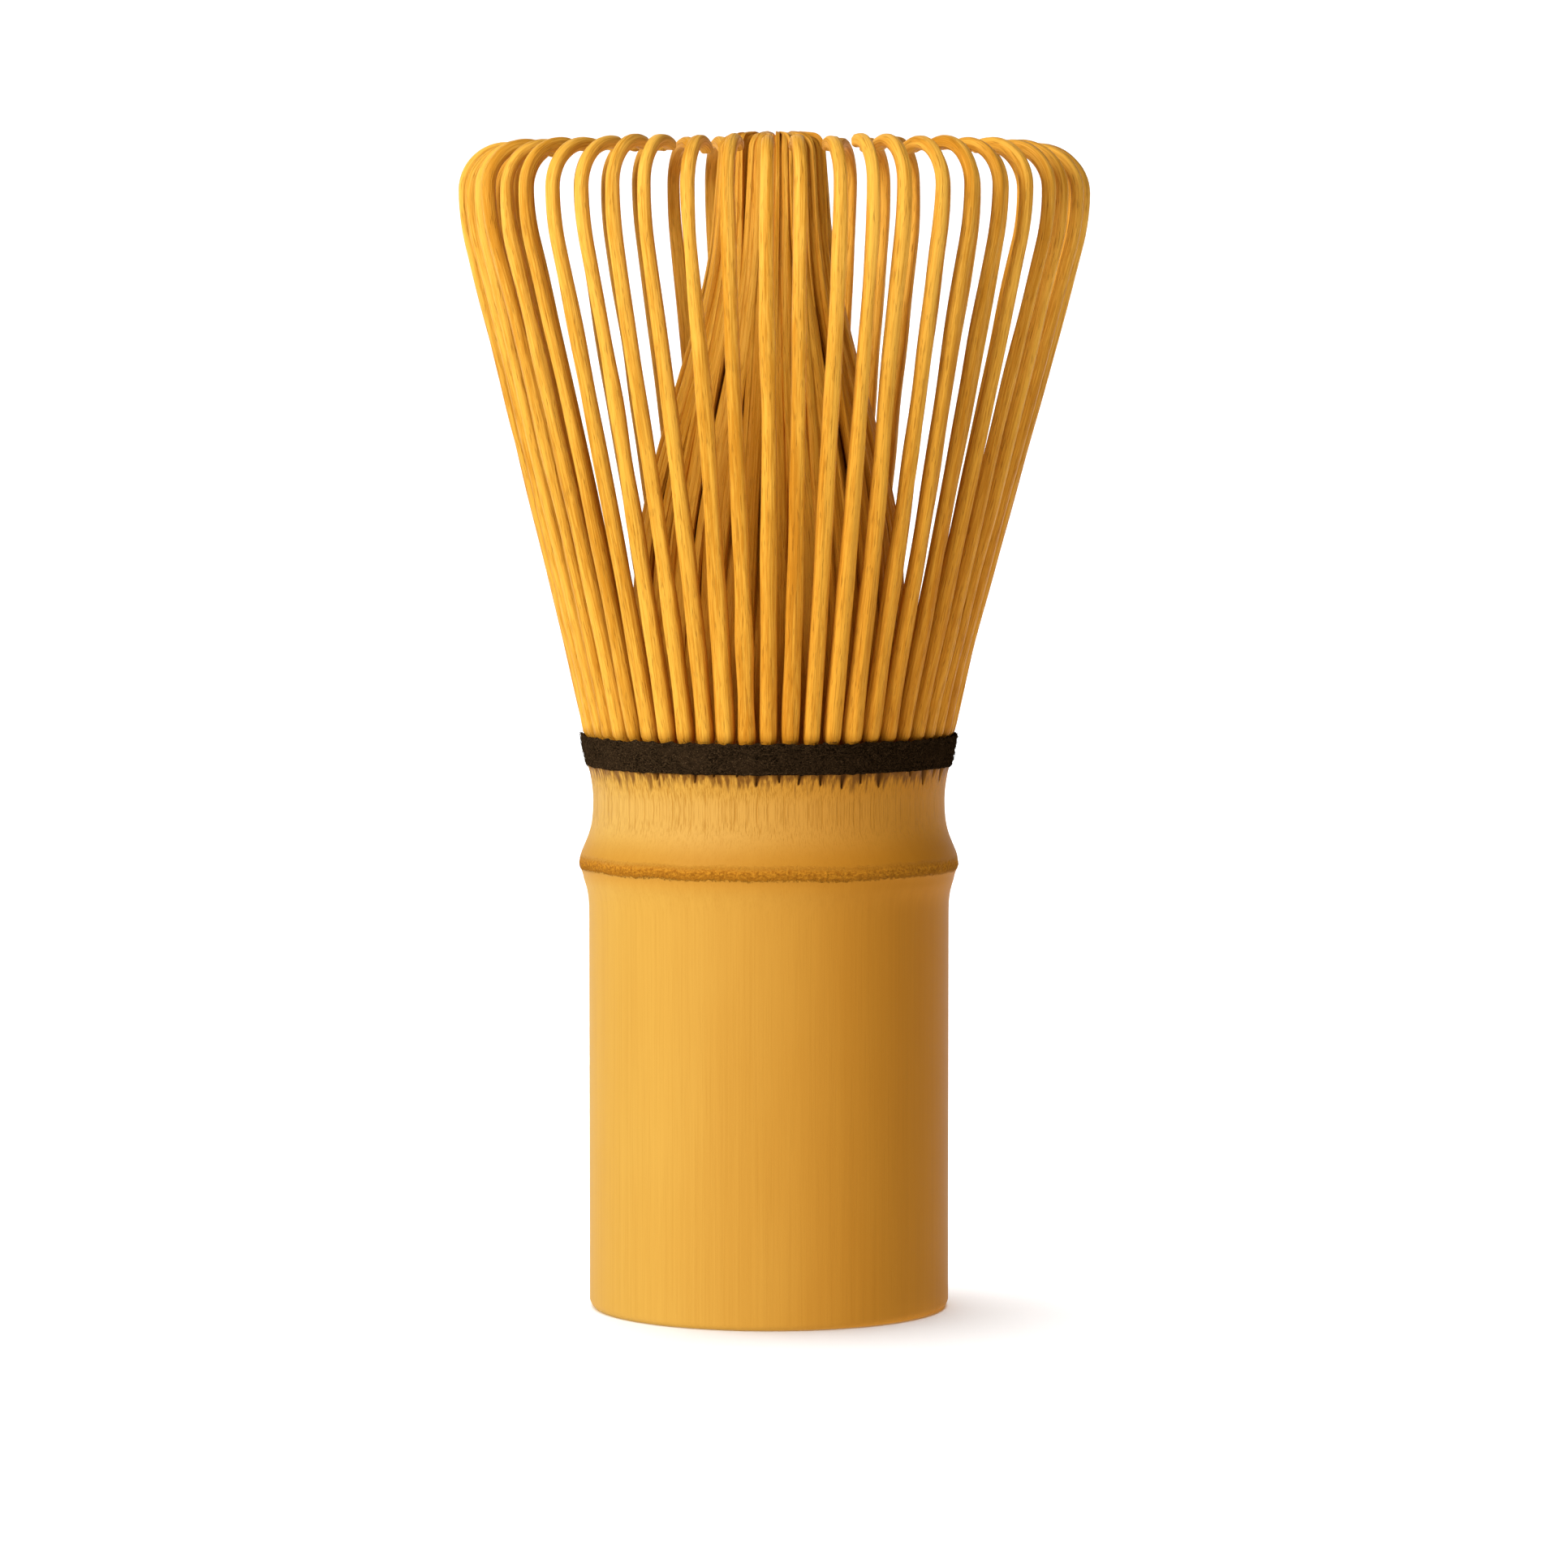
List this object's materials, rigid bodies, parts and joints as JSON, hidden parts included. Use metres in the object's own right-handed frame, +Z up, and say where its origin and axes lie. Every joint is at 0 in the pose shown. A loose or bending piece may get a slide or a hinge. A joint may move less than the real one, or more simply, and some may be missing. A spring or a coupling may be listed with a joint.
{
  "type": "bamboo tea whisk",
  "caption": "Bamboo tea whisk with a culm grip, a flared ring of springy hooked outer tines, a gathered heart of inner tines and a black thread binding.",
  "frame": {"origin": "centre of the grip's base, on the surface the whisk stands on", "axes": "+Z up along the whisk's axis from the grip to the tips, -Y towards the front tine"},
  "size_m": [0.0582, 0.0581, 0.1084],
  "materials": {
    "bamboo_skin": "satin bamboo skin",
    "split_bamboo": "dry split bamboo",
    "black_thread": "matte cotton thread"
  },
  "bodies": {
    "grip_and_heart": {"culm_grip": "bamboo_skin", "inner_tines_1": "split_bamboo", "inner_tines_2": "split_bamboo", "inner_tines_3": "split_bamboo", "binding_thread": "black_thread", "lacing_thread": "black_thread"},
    "outer_tine_01": {"outer_tine_01": "split_bamboo"},
    "outer_tine_02": {"outer_tine_02": "split_bamboo"},
    "outer_tine_03": {"outer_tine_03": "split_bamboo"},
    "outer_tine_04": {"outer_tine_04": "split_bamboo"},
    "outer_tine_05": {"outer_tine_05": "split_bamboo"},
    "outer_tine_06": {"outer_tine_06": "split_bamboo"},
    "outer_tine_07": {"outer_tine_07": "split_bamboo"},
    "outer_tine_08": {"outer_tine_08": "split_bamboo"},
    "outer_tine_09": {"outer_tine_09": "split_bamboo"},
    "outer_tine_10": {"outer_tine_10": "split_bamboo"},
    "outer_tine_11": {"outer_tine_11": "split_bamboo"},
    "outer_tine_12": {"outer_tine_12": "split_bamboo"},
    "outer_tine_13": {"outer_tine_13": "split_bamboo"},
    "outer_tine_14": {"outer_tine_14": "split_bamboo"},
    "outer_tine_15": {"outer_tine_15": "split_bamboo"},
    "outer_tine_16": {"outer_tine_16": "split_bamboo"},
    "outer_tine_17": {"outer_tine_17": "split_bamboo"},
    "outer_tine_18": {"outer_tine_18": "split_bamboo"},
    "outer_tine_19": {"outer_tine_19": "split_bamboo"},
    "outer_tine_20": {"outer_tine_20": "split_bamboo"},
    "outer_tine_21": {"outer_tine_21": "split_bamboo"},
    "outer_tine_22": {"outer_tine_22": "split_bamboo"},
    "outer_tine_23": {"outer_tine_23": "split_bamboo"},
    "outer_tine_24": {"outer_tine_24": "split_bamboo"},
    "outer_tine_25": {"outer_tine_25": "split_bamboo"},
    "outer_tine_26": {"outer_tine_26": "split_bamboo"},
    "outer_tine_27": {"outer_tine_27": "split_bamboo"},
    "outer_tine_28": {"outer_tine_28": "split_bamboo"},
    "outer_tine_29": {"outer_tine_29": "split_bamboo"},
    "outer_tine_30": {"outer_tine_30": "split_bamboo"},
    "outer_tine_31": {"outer_tine_31": "split_bamboo"},
    "outer_tine_32": {"outer_tine_32": "split_bamboo"},
    "outer_tine_33": {"outer_tine_33": "split_bamboo"},
    "outer_tine_34": {"outer_tine_34": "split_bamboo"},
    "outer_tine_35": {"outer_tine_35": "split_bamboo"},
    "outer_tine_36": {"outer_tine_36": "split_bamboo"},
    "outer_tine_37": {"outer_tine_37": "split_bamboo"},
    "outer_tine_38": {"outer_tine_38": "split_bamboo"},
    "outer_tine_39": {"outer_tine_39": "split_bamboo"},
    "outer_tine_40": {"outer_tine_40": "split_bamboo"},
    "outer_tine_41": {"outer_tine_41": "split_bamboo"},
    "outer_tine_42": {"outer_tine_42": "split_bamboo"},
    "outer_tine_43": {"outer_tine_43": "split_bamboo"},
    "outer_tine_44": {"outer_tine_44": "split_bamboo"},
    "outer_tine_45": {"outer_tine_45": "split_bamboo"},
    "outer_tine_46": {"outer_tine_46": "split_bamboo"},
    "outer_tine_47": {"outer_tine_47": "split_bamboo"},
    "outer_tine_48": {"outer_tine_48": "split_bamboo"},
    "outer_tine_49": {"outer_tine_49": "split_bamboo"},
    "outer_tine_50": {"outer_tine_50": "split_bamboo"},
    "outer_tine_51": {"outer_tine_51": "split_bamboo"},
    "outer_tine_52": {"outer_tine_52": "split_bamboo"},
    "outer_tine_53": {"outer_tine_53": "split_bamboo"}
  },
  "joints": [
    {"name": "outer_tine_01_flex", "type": "hinge", "parent": "grip_and_heart", "child": "outer_tine_01", "pos_m": [0, -0.01549, 0.05095], "axis": [-1, 0, 0], "range_deg": [-3, 10], "stiffness_Nm_per_rad": 0.004},
    {"name": "outer_tine_02_flex", "type": "hinge", "parent": "grip_and_heart", "child": "outer_tine_02", "pos_m": [0.00183, -0.01538, 0.05095], "axis": [-0.993, -0.1183, 0], "range_deg": [-3, 10], "stiffness_Nm_per_rad": 0.004},
    {"name": "outer_tine_03_flex", "type": "hinge", "parent": "grip_and_heart", "child": "outer_tine_03", "pos_m": [0.00364, -0.01506, 0.05095], "axis": [-0.972, -0.2349, 0], "range_deg": [-3, 10], "stiffness_Nm_per_rad": 0.004},
    {"name": "outer_tine_04_flex", "type": "hinge", "parent": "grip_and_heart", "child": "outer_tine_04", "pos_m": [0.00539, -0.01452, 0.05095], "axis": [-0.9374, -0.3482, 0], "range_deg": [-3, 10], "stiffness_Nm_per_rad": 0.004},
    {"name": "outer_tine_05_flex", "type": "hinge", "parent": "grip_and_heart", "child": "outer_tine_05", "pos_m": [0.00707, -0.01378, 0.05095], "axis": [-0.8897, -0.4566, 0], "range_deg": [-3, 10], "stiffness_Nm_per_rad": 0.004},
    {"name": "outer_tine_06_flex", "type": "hinge", "parent": "grip_and_heart", "child": "outer_tine_06", "pos_m": [0.00865, -0.01285, 0.05095], "axis": [-0.8294, -0.5586, 0], "range_deg": [-3, 10], "stiffness_Nm_per_rad": 0.004},
    {"name": "outer_tine_07_flex", "type": "hinge", "parent": "grip_and_heart", "child": "outer_tine_07", "pos_m": [0.01011, -0.01173, 0.05095], "axis": [-0.7575, -0.6528, 0], "range_deg": [-3, 10], "stiffness_Nm_per_rad": 0.004},
    {"name": "outer_tine_08_flex", "type": "hinge", "parent": "grip_and_heart", "child": "outer_tine_08", "pos_m": [0.01143, -0.01046, 0.05095], "axis": [-0.675, -0.7378, 0], "range_deg": [-3, 10], "stiffness_Nm_per_rad": 0.004},
    {"name": "outer_tine_09_flex", "type": "hinge", "parent": "grip_and_heart", "child": "outer_tine_09", "pos_m": [0.01259, -0.00903, 0.05095], "axis": [-0.583, -0.8125, 0], "range_deg": [-3, 10], "stiffness_Nm_per_rad": 0.004},
    {"name": "outer_tine_10_flex", "type": "hinge", "parent": "grip_and_heart", "child": "outer_tine_10", "pos_m": [0.01357, -0.00748, 0.05095], "axis": [-0.4828, -0.8757, 0], "range_deg": [-3, 10], "stiffness_Nm_per_rad": 0.004},
    {"name": "outer_tine_11_flex", "type": "hinge", "parent": "grip_and_heart", "child": "outer_tine_11", "pos_m": [0.01435, -0.00582, 0.05095], "axis": [-0.3758, -0.9267, 0], "range_deg": [-3, 10], "stiffness_Nm_per_rad": 0.004},
    {"name": "outer_tine_12_flex", "type": "hinge", "parent": "grip_and_heart", "child": "outer_tine_12", "pos_m": [0.01494, -0.00408, 0.05095], "axis": [-0.2636, -0.9646, 0], "range_deg": [-3, 10], "stiffness_Nm_per_rad": 0.004},
    {"name": "outer_tine_13_flex", "type": "hinge", "parent": "grip_and_heart", "child": "outer_tine_13", "pos_m": [0.01532, -0.00229, 0.05095], "axis": [-0.1476, -0.989, 0], "range_deg": [-3, 10], "stiffness_Nm_per_rad": 0.004},
    {"name": "outer_tine_14_flex", "type": "hinge", "parent": "grip_and_heart", "child": "outer_tine_14", "pos_m": [0.01548, -0.00046, 0.05095], "axis": [-0.0296, -0.9996, 0], "range_deg": [-3, 10], "stiffness_Nm_per_rad": 0.004},
    {"name": "outer_tine_15_flex", "type": "hinge", "parent": "grip_and_heart", "child": "outer_tine_15", "pos_m": [0.01543, 0.00138, 0.05095], "axis": [0.0888, -0.996, 0], "range_deg": [-3, 10], "stiffness_Nm_per_rad": 0.004},
    {"name": "outer_tine_16_flex", "type": "hinge", "parent": "grip_and_heart", "child": "outer_tine_16", "pos_m": [0.01516, 0.00319, 0.05095], "axis": [0.206, -0.9786, 0], "range_deg": [-3, 10], "stiffness_Nm_per_rad": 0.004},
    {"name": "outer_tine_17_flex", "type": "hinge", "parent": "grip_and_heart", "child": "outer_tine_17", "pos_m": [0.01467, 0.00496, 0.05095], "axis": [0.3203, -0.9473, 0], "range_deg": [-3, 10], "stiffness_Nm_per_rad": 0.004},
    {"name": "outer_tine_18_flex", "type": "hinge", "parent": "grip_and_heart", "child": "outer_tine_18", "pos_m": [0.01398, 0.00666, 0.05095], "axis": [0.4301, -0.9028, 0], "range_deg": [-3, 10], "stiffness_Nm_per_rad": 0.004},
    {"name": "outer_tine_19_flex", "type": "hinge", "parent": "grip_and_heart", "child": "outer_tine_19", "pos_m": [0.0131, 0.00827, 0.05095], "axis": [0.5338, -0.8456, 0], "range_deg": [-3, 10], "stiffness_Nm_per_rad": 0.004},
    {"name": "outer_tine_20_flex", "type": "hinge", "parent": "grip_and_heart", "child": "outer_tine_20", "pos_m": [0.01203, 0.00976, 0.05095], "axis": [0.6301, -0.7765, 0], "range_deg": [-3, 10], "stiffness_Nm_per_rad": 0.004},
    {"name": "outer_tine_21_flex", "type": "hinge", "parent": "grip_and_heart", "child": "outer_tine_21", "pos_m": [0.01079, 0.01111, 0.05095], "axis": [0.7175, -0.6966, 0], "range_deg": [-3, 10], "stiffness_Nm_per_rad": 0.004},
    {"name": "outer_tine_22_flex", "type": "hinge", "parent": "grip_and_heart", "child": "outer_tine_22", "pos_m": [0.0094, 0.01231, 0.05095], "axis": [0.7949, -0.6068, 0], "range_deg": [-3, 10], "stiffness_Nm_per_rad": 0.004},
    {"name": "outer_tine_23_flex", "type": "hinge", "parent": "grip_and_heart", "child": "outer_tine_23", "pos_m": [0.00788, 0.01334, 0.05095], "axis": [0.861, -0.5085, 0], "range_deg": [-3, 10], "stiffness_Nm_per_rad": 0.004},
    {"name": "outer_tine_24_flex", "type": "hinge", "parent": "grip_and_heart", "child": "outer_tine_24", "pos_m": [0.00624, 0.01418, 0.05095], "axis": [0.9151, -0.4031, 0], "range_deg": [-3, 10], "stiffness_Nm_per_rad": 0.004},
    {"name": "outer_tine_25_flex", "type": "hinge", "parent": "grip_and_heart", "child": "outer_tine_25", "pos_m": [0.00452, 0.01481, 0.05095], "axis": [0.9564, -0.2921, 0], "range_deg": [-3, 10], "stiffness_Nm_per_rad": 0.004},
    {"name": "outer_tine_26_flex", "type": "hinge", "parent": "grip_and_heart", "child": "outer_tine_26", "pos_m": [0.00274, 0.01525, 0.05095], "axis": [0.9842, -0.1769, 0], "range_deg": [-3, 10], "stiffness_Nm_per_rad": 0.004},
    {"name": "outer_tine_27_flex", "type": "hinge", "parent": "grip_and_heart", "child": "outer_tine_27", "pos_m": [0.00092, 0.01546, 0.05095], "axis": [0.9982, -0.0592, 0], "range_deg": [-3, 10], "stiffness_Nm_per_rad": 0.004},
    {"name": "outer_tine_28_flex", "type": "hinge", "parent": "grip_and_heart", "child": "outer_tine_28", "pos_m": [-0.00092, 0.01546, 0.05095], "axis": [0.9982, 0.0592, 0], "range_deg": [-3, 10], "stiffness_Nm_per_rad": 0.004},
    {"name": "outer_tine_29_flex", "type": "hinge", "parent": "grip_and_heart", "child": "outer_tine_29", "pos_m": [-0.00274, 0.01525, 0.05095], "axis": [0.9842, 0.1769, 0], "range_deg": [-3, 10], "stiffness_Nm_per_rad": 0.004},
    {"name": "outer_tine_30_flex", "type": "hinge", "parent": "grip_and_heart", "child": "outer_tine_30", "pos_m": [-0.00452, 0.01481, 0.05095], "axis": [0.9564, 0.2921, 0], "range_deg": [-3, 10], "stiffness_Nm_per_rad": 0.004},
    {"name": "outer_tine_31_flex", "type": "hinge", "parent": "grip_and_heart", "child": "outer_tine_31", "pos_m": [-0.00624, 0.01418, 0.05095], "axis": [0.9151, 0.4031, 0], "range_deg": [-3, 10], "stiffness_Nm_per_rad": 0.004},
    {"name": "outer_tine_32_flex", "type": "hinge", "parent": "grip_and_heart", "child": "outer_tine_32", "pos_m": [-0.00788, 0.01334, 0.05095], "axis": [0.861, 0.5085, 0], "range_deg": [-3, 10], "stiffness_Nm_per_rad": 0.004},
    {"name": "outer_tine_33_flex", "type": "hinge", "parent": "grip_and_heart", "child": "outer_tine_33", "pos_m": [-0.0094, 0.01231, 0.05095], "axis": [0.7949, 0.6068, 0], "range_deg": [-3, 10], "stiffness_Nm_per_rad": 0.004},
    {"name": "outer_tine_34_flex", "type": "hinge", "parent": "grip_and_heart", "child": "outer_tine_34", "pos_m": [-0.01079, 0.01111, 0.05095], "axis": [0.7175, 0.6966, 0], "range_deg": [-3, 10], "stiffness_Nm_per_rad": 0.004},
    {"name": "outer_tine_35_flex", "type": "hinge", "parent": "grip_and_heart", "child": "outer_tine_35", "pos_m": [-0.01203, 0.00976, 0.05095], "axis": [0.6301, 0.7765, 0], "range_deg": [-3, 10], "stiffness_Nm_per_rad": 0.004},
    {"name": "outer_tine_36_flex", "type": "hinge", "parent": "grip_and_heart", "child": "outer_tine_36", "pos_m": [-0.0131, 0.00827, 0.05095], "axis": [0.5338, 0.8456, 0], "range_deg": [-3, 10], "stiffness_Nm_per_rad": 0.004},
    {"name": "outer_tine_37_flex", "type": "hinge", "parent": "grip_and_heart", "child": "outer_tine_37", "pos_m": [-0.01398, 0.00666, 0.05095], "axis": [0.4301, 0.9028, 0], "range_deg": [-3, 10], "stiffness_Nm_per_rad": 0.004},
    {"name": "outer_tine_38_flex", "type": "hinge", "parent": "grip_and_heart", "child": "outer_tine_38", "pos_m": [-0.01467, 0.00496, 0.05095], "axis": [0.3203, 0.9473, 0], "range_deg": [-3, 10], "stiffness_Nm_per_rad": 0.004},
    {"name": "outer_tine_39_flex", "type": "hinge", "parent": "grip_and_heart", "child": "outer_tine_39", "pos_m": [-0.01516, 0.00319, 0.05095], "axis": [0.206, 0.9786, 0], "range_deg": [-3, 10], "stiffness_Nm_per_rad": 0.004},
    {"name": "outer_tine_40_flex", "type": "hinge", "parent": "grip_and_heart", "child": "outer_tine_40", "pos_m": [-0.01543, 0.00138, 0.05095], "axis": [0.0888, 0.996, 0], "range_deg": [-3, 10], "stiffness_Nm_per_rad": 0.004},
    {"name": "outer_tine_41_flex", "type": "hinge", "parent": "grip_and_heart", "child": "outer_tine_41", "pos_m": [-0.01548, -0.00046, 0.05095], "axis": [-0.0296, 0.9996, 0], "range_deg": [-3, 10], "stiffness_Nm_per_rad": 0.004},
    {"name": "outer_tine_42_flex", "type": "hinge", "parent": "grip_and_heart", "child": "outer_tine_42", "pos_m": [-0.01532, -0.00229, 0.05095], "axis": [-0.1476, 0.989, 0], "range_deg": [-3, 10], "stiffness_Nm_per_rad": 0.004},
    {"name": "outer_tine_43_flex", "type": "hinge", "parent": "grip_and_heart", "child": "outer_tine_43", "pos_m": [-0.01494, -0.00408, 0.05095], "axis": [-0.2636, 0.9646, 0], "range_deg": [-3, 10], "stiffness_Nm_per_rad": 0.004},
    {"name": "outer_tine_44_flex", "type": "hinge", "parent": "grip_and_heart", "child": "outer_tine_44", "pos_m": [-0.01435, -0.00582, 0.05095], "axis": [-0.3758, 0.9267, 0], "range_deg": [-3, 10], "stiffness_Nm_per_rad": 0.004},
    {"name": "outer_tine_45_flex", "type": "hinge", "parent": "grip_and_heart", "child": "outer_tine_45", "pos_m": [-0.01357, -0.00748, 0.05095], "axis": [-0.4828, 0.8757, 0], "range_deg": [-3, 10], "stiffness_Nm_per_rad": 0.004},
    {"name": "outer_tine_46_flex", "type": "hinge", "parent": "grip_and_heart", "child": "outer_tine_46", "pos_m": [-0.01259, -0.00903, 0.05095], "axis": [-0.583, 0.8125, 0], "range_deg": [-3, 10], "stiffness_Nm_per_rad": 0.004},
    {"name": "outer_tine_47_flex", "type": "hinge", "parent": "grip_and_heart", "child": "outer_tine_47", "pos_m": [-0.01143, -0.01046, 0.05095], "axis": [-0.675, 0.7378, 0], "range_deg": [-3, 10], "stiffness_Nm_per_rad": 0.004},
    {"name": "outer_tine_48_flex", "type": "hinge", "parent": "grip_and_heart", "child": "outer_tine_48", "pos_m": [-0.01011, -0.01173, 0.05095], "axis": [-0.7575, 0.6528, 0], "range_deg": [-3, 10], "stiffness_Nm_per_rad": 0.004},
    {"name": "outer_tine_49_flex", "type": "hinge", "parent": "grip_and_heart", "child": "outer_tine_49", "pos_m": [-0.00865, -0.01285, 0.05095], "axis": [-0.8294, 0.5586, 0], "range_deg": [-3, 10], "stiffness_Nm_per_rad": 0.004},
    {"name": "outer_tine_50_flex", "type": "hinge", "parent": "grip_and_heart", "child": "outer_tine_50", "pos_m": [-0.00707, -0.01378, 0.05095], "axis": [-0.8897, 0.4566, 0], "range_deg": [-3, 10], "stiffness_Nm_per_rad": 0.004},
    {"name": "outer_tine_51_flex", "type": "hinge", "parent": "grip_and_heart", "child": "outer_tine_51", "pos_m": [-0.00539, -0.01452, 0.05095], "axis": [-0.9374, 0.3482, 0], "range_deg": [-3, 10], "stiffness_Nm_per_rad": 0.004},
    {"name": "outer_tine_52_flex", "type": "hinge", "parent": "grip_and_heart", "child": "outer_tine_52", "pos_m": [-0.00364, -0.01506, 0.05095], "axis": [-0.972, 0.2349, 0], "range_deg": [-3, 10], "stiffness_Nm_per_rad": 0.004},
    {"name": "outer_tine_53_flex", "type": "hinge", "parent": "grip_and_heart", "child": "outer_tine_53", "pos_m": [-0.00183, -0.01538, 0.05095], "axis": [-0.993, 0.1183, 0], "range_deg": [-3, 10], "stiffness_Nm_per_rad": 0.004}
  ]
}
